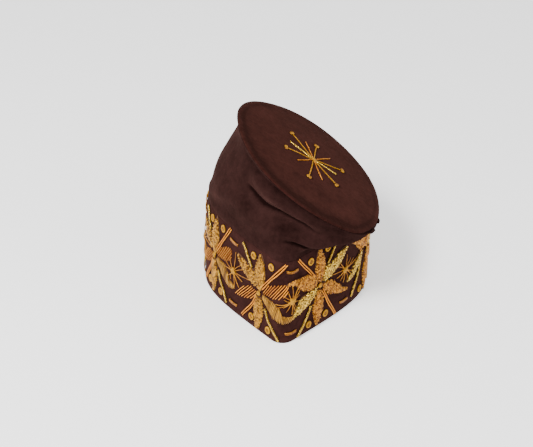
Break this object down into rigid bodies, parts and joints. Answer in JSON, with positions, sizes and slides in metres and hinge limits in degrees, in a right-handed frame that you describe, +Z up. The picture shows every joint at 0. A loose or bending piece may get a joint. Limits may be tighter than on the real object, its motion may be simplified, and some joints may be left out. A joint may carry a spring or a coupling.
{
  "type": "folded velvet fila cap",
  "caption": "Soft brown velvet cap with a stiff pointed band, a slouching crown that leans to one side, a round top and raised gold-thread flowers and stars.",
  "frame": {"origin": "middle of the cap's outline at the lower rim, on the surface that it rests on", "axes": "+Z up, -Y towards the front fold of the band, +X towards the side that the crown leans to"},
  "size_m": [0.1754, 0.2346, 0.194],
  "materials": {
    "band_velvet": "stiffened dark brown velvet",
    "crown_velvet": "soft dark brown velvet",
    "top_velvet": "soft reddish brown velvet",
    "gold_thread": "couched metallic gold thread, satin sheen",
    "pale_thread": "fine pale gold thread, bright glitter",
    "amber_thread": "amber gold purl and twisted cord"
  },
  "bodies": {
    "root": {"band": "band_velvet", "crown": "crown_velvet", "top_panel": "top_velvet", "top_star": "amber_thread", "band_flower_1": "gold_thread", "band_star_1": "pale_thread", "band_stud_1_1": "amber_thread", "band_stud_1_2": "amber_thread", "band_stud_1_3": "amber_thread", "band_stud_1_4": "amber_thread", "band_flower_2": "gold_thread", "band_star_2": "pale_thread", "band_stud_2_1": "amber_thread", "band_stud_2_2": "amber_thread", "band_stud_2_3": "amber_thread", "band_stud_2_4": "amber_thread", "band_flower_3": "gold_thread", "band_star_3": "pale_thread", "band_stud_3_1": "amber_thread", "band_stud_3_2": "amber_thread", "band_stud_3_3": "amber_thread", "band_stud_3_4": "amber_thread", "band_flower_4": "gold_thread", "band_star_4": "pale_thread", "band_stud_4_1": "amber_thread", "band_stud_4_2": "amber_thread", "band_stud_4_3": "amber_thread", "band_stud_4_4": "amber_thread", "band_flower_5": "gold_thread", "band_star_5": "pale_thread", "band_stud_5_1": "amber_thread", "band_stud_5_2": "amber_thread", "band_stud_5_3": "amber_thread", "band_stud_5_4": "amber_thread", "band_flower_6": "gold_thread", "band_star_6": "pale_thread", "band_stud_6_1": "amber_thread", "band_stud_6_2": "amber_thread", "band_stud_6_3": "amber_thread", "band_stud_6_4": "amber_thread", "band_flower_7": "gold_thread", "band_star_7": "pale_thread", "band_stud_7_1": "amber_thread", "band_stud_7_2": "amber_thread", "band_stud_7_3": "amber_thread", "band_stud_7_4": "amber_thread", "band_flower_8": "gold_thread", "band_star_8": "pale_thread", "band_stud_8_1": "amber_thread", "band_stud_8_2": "amber_thread", "band_stud_8_3": "amber_thread", "band_stud_8_4": "amber_thread"}
  },
  "joints": []
}
